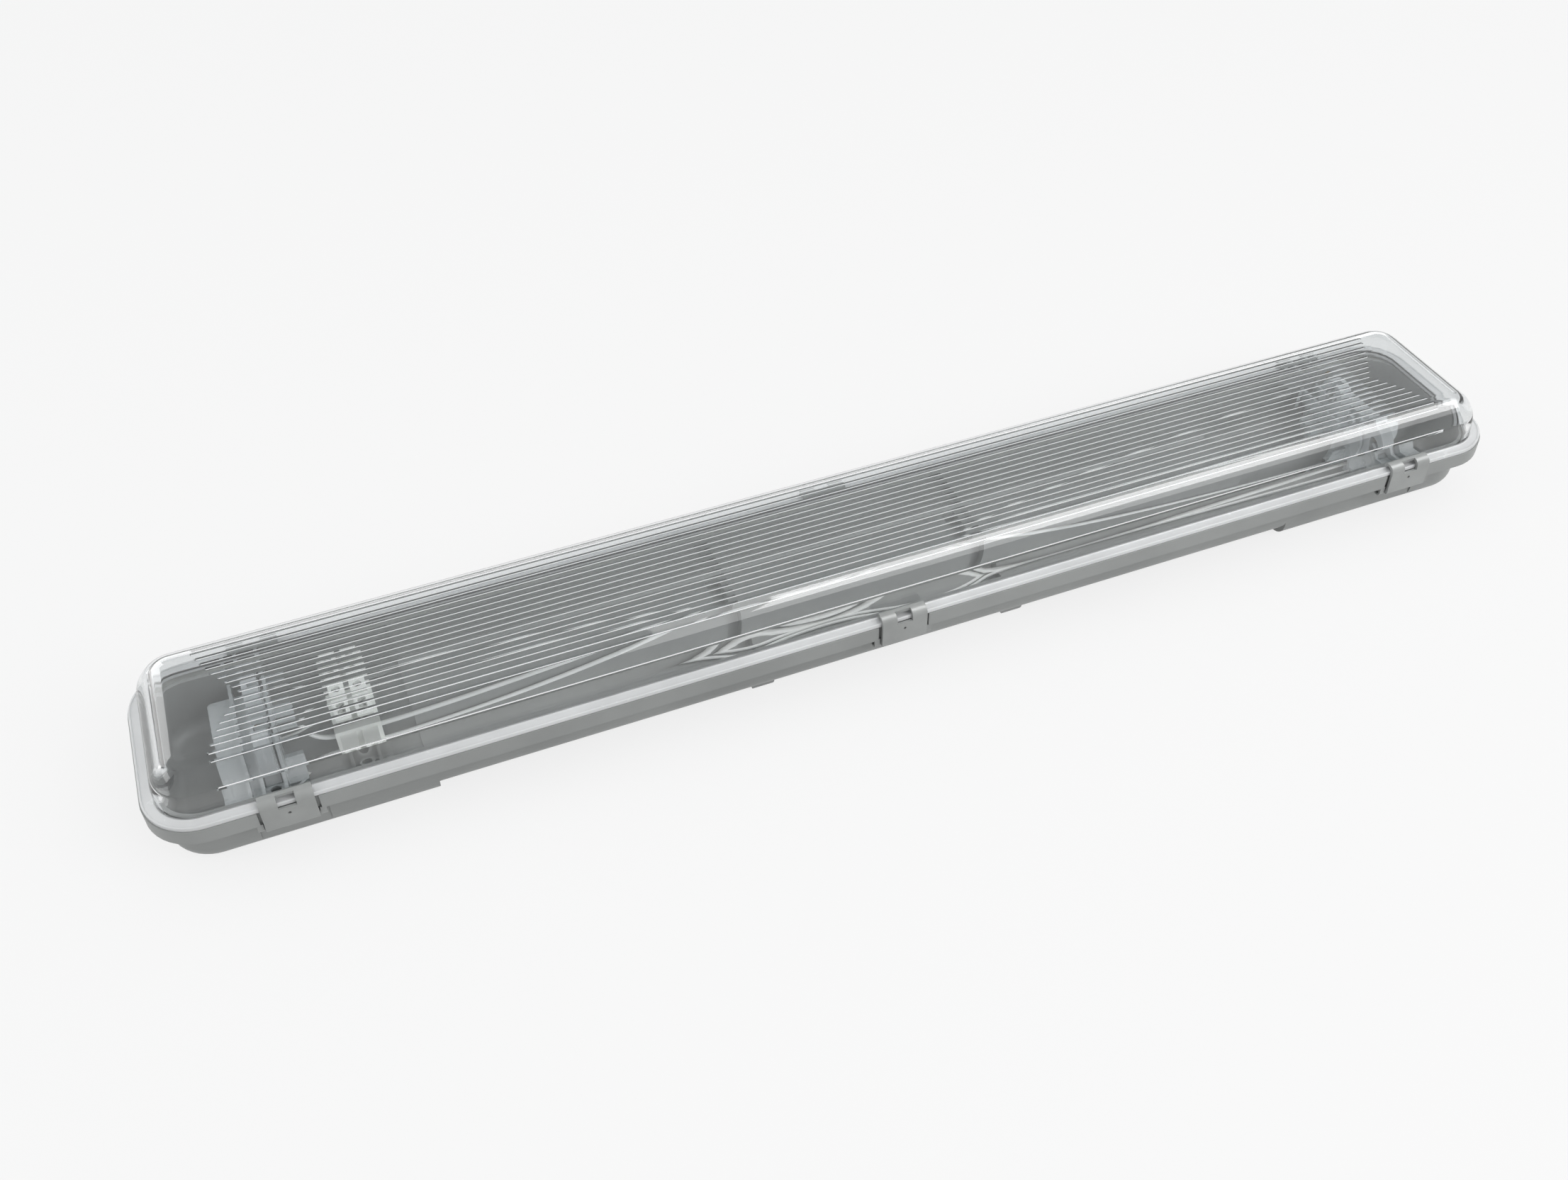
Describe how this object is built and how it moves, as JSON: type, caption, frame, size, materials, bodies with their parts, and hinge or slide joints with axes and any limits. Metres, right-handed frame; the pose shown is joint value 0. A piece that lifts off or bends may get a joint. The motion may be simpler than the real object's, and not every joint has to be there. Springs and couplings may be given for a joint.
{
  "type": "weatherproof tube light fitting",
  "caption": "Slim weatherproof batten light fitting with a shallow grey tray, a clear ribbed cover held by hinged clips, lampholders for tubes and a terminal block inside.",
  "frame": {"origin": "middle of the length and width, on the plane of the flat back of the deep tray ends", "axes": "+X along the length, away from the end with the terminal block; +Y across the width; +Z from the back of the tray towards the cover"},
  "size_m": [0.66, 0.1006, 0.054],
  "materials": {
    "tray_plastic": "satin grey moulded plastic",
    "clip_plastic": "satin grey moulded plastic",
    "clear_cover": "clear polished plastic with fine inner ridges",
    "seal_foam": "soft light grey foam",
    "carrier_plastic": "pale bluish grey moulded plastic",
    "holder_plastic": "white moulded plastic",
    "contact_metal": "plain brass",
    "terminal_plastic": "bright white moulded plastic",
    "screw_metal": "plated steel",
    "plug_rubber": "soft grey rubber",
    "wire_jacket": "smooth white wire covering"
  },
  "bodies": {
    "housing": {"base_tray": "tray_plastic", "gasket": "seal_foam", "diffuser": "clear_cover", "carrier_left": "carrier_plastic", "carrier_right": "carrier_plastic", "lampholder_left_front": "holder_plastic", "lampholder_left_back": "holder_plastic", "lampholder_right_front": "holder_plastic", "lampholder_right_back": "holder_plastic", "contacts_left_front": "contact_metal", "contacts_left_back": "contact_metal", "contacts_right_front": "contact_metal", "contacts_right_back": "contact_metal", "terminal_block": "terminal_plastic", "terminal_inserts": "contact_metal", "terminal_screws": "screw_metal", "cable_plug": "plug_rubber", "wire_far_front": "wire_jacket", "wire_far_back": "wire_jacket", "wire_near_front": "wire_jacket", "wire_near_back": "wire_jacket"},
    "front_left_clip": {"clip_front_left": "clip_plastic"},
    "front_middle_clip": {"clip_front_middle": "clip_plastic"},
    "front_right_clip": {"clip_front_right": "clip_plastic"},
    "back_left_clip": {"clip_back_left": "clip_plastic"},
    "back_middle_clip": {"clip_back_middle": "clip_plastic"},
    "back_right_clip": {"clip_back_right": "clip_plastic"}
  },
  "joints": [
    {"name": "front_left_clip_hinge", "type": "hinge", "parent": "housing", "child": "front_left_clip", "pos_m": [-0.274, -0.0464, 0.021], "axis": [1, 0, 0], "range_deg": [0, 100]},
    {"name": "front_middle_clip_hinge", "type": "hinge", "parent": "housing", "child": "front_middle_clip", "pos_m": [0, -0.0464, 0.021], "axis": [1, 0, 0], "range_deg": [0, 100]},
    {"name": "front_right_clip_hinge", "type": "hinge", "parent": "housing", "child": "front_right_clip", "pos_m": [0.274, -0.0464, 0.021], "axis": [1, 0, 0], "range_deg": [0, 100]},
    {"name": "back_left_clip_hinge", "type": "hinge", "parent": "housing", "child": "back_left_clip", "pos_m": [-0.274, 0.0464, 0.021], "axis": [-1, 0, 0], "range_deg": [0, 100]},
    {"name": "back_middle_clip_hinge", "type": "hinge", "parent": "housing", "child": "back_middle_clip", "pos_m": [0, 0.0464, 0.021], "axis": [-1, 0, 0], "range_deg": [0, 100]},
    {"name": "back_right_clip_hinge", "type": "hinge", "parent": "housing", "child": "back_right_clip", "pos_m": [0.274, 0.0464, 0.021], "axis": [-1, 0, 0], "range_deg": [0, 100]}
  ]
}
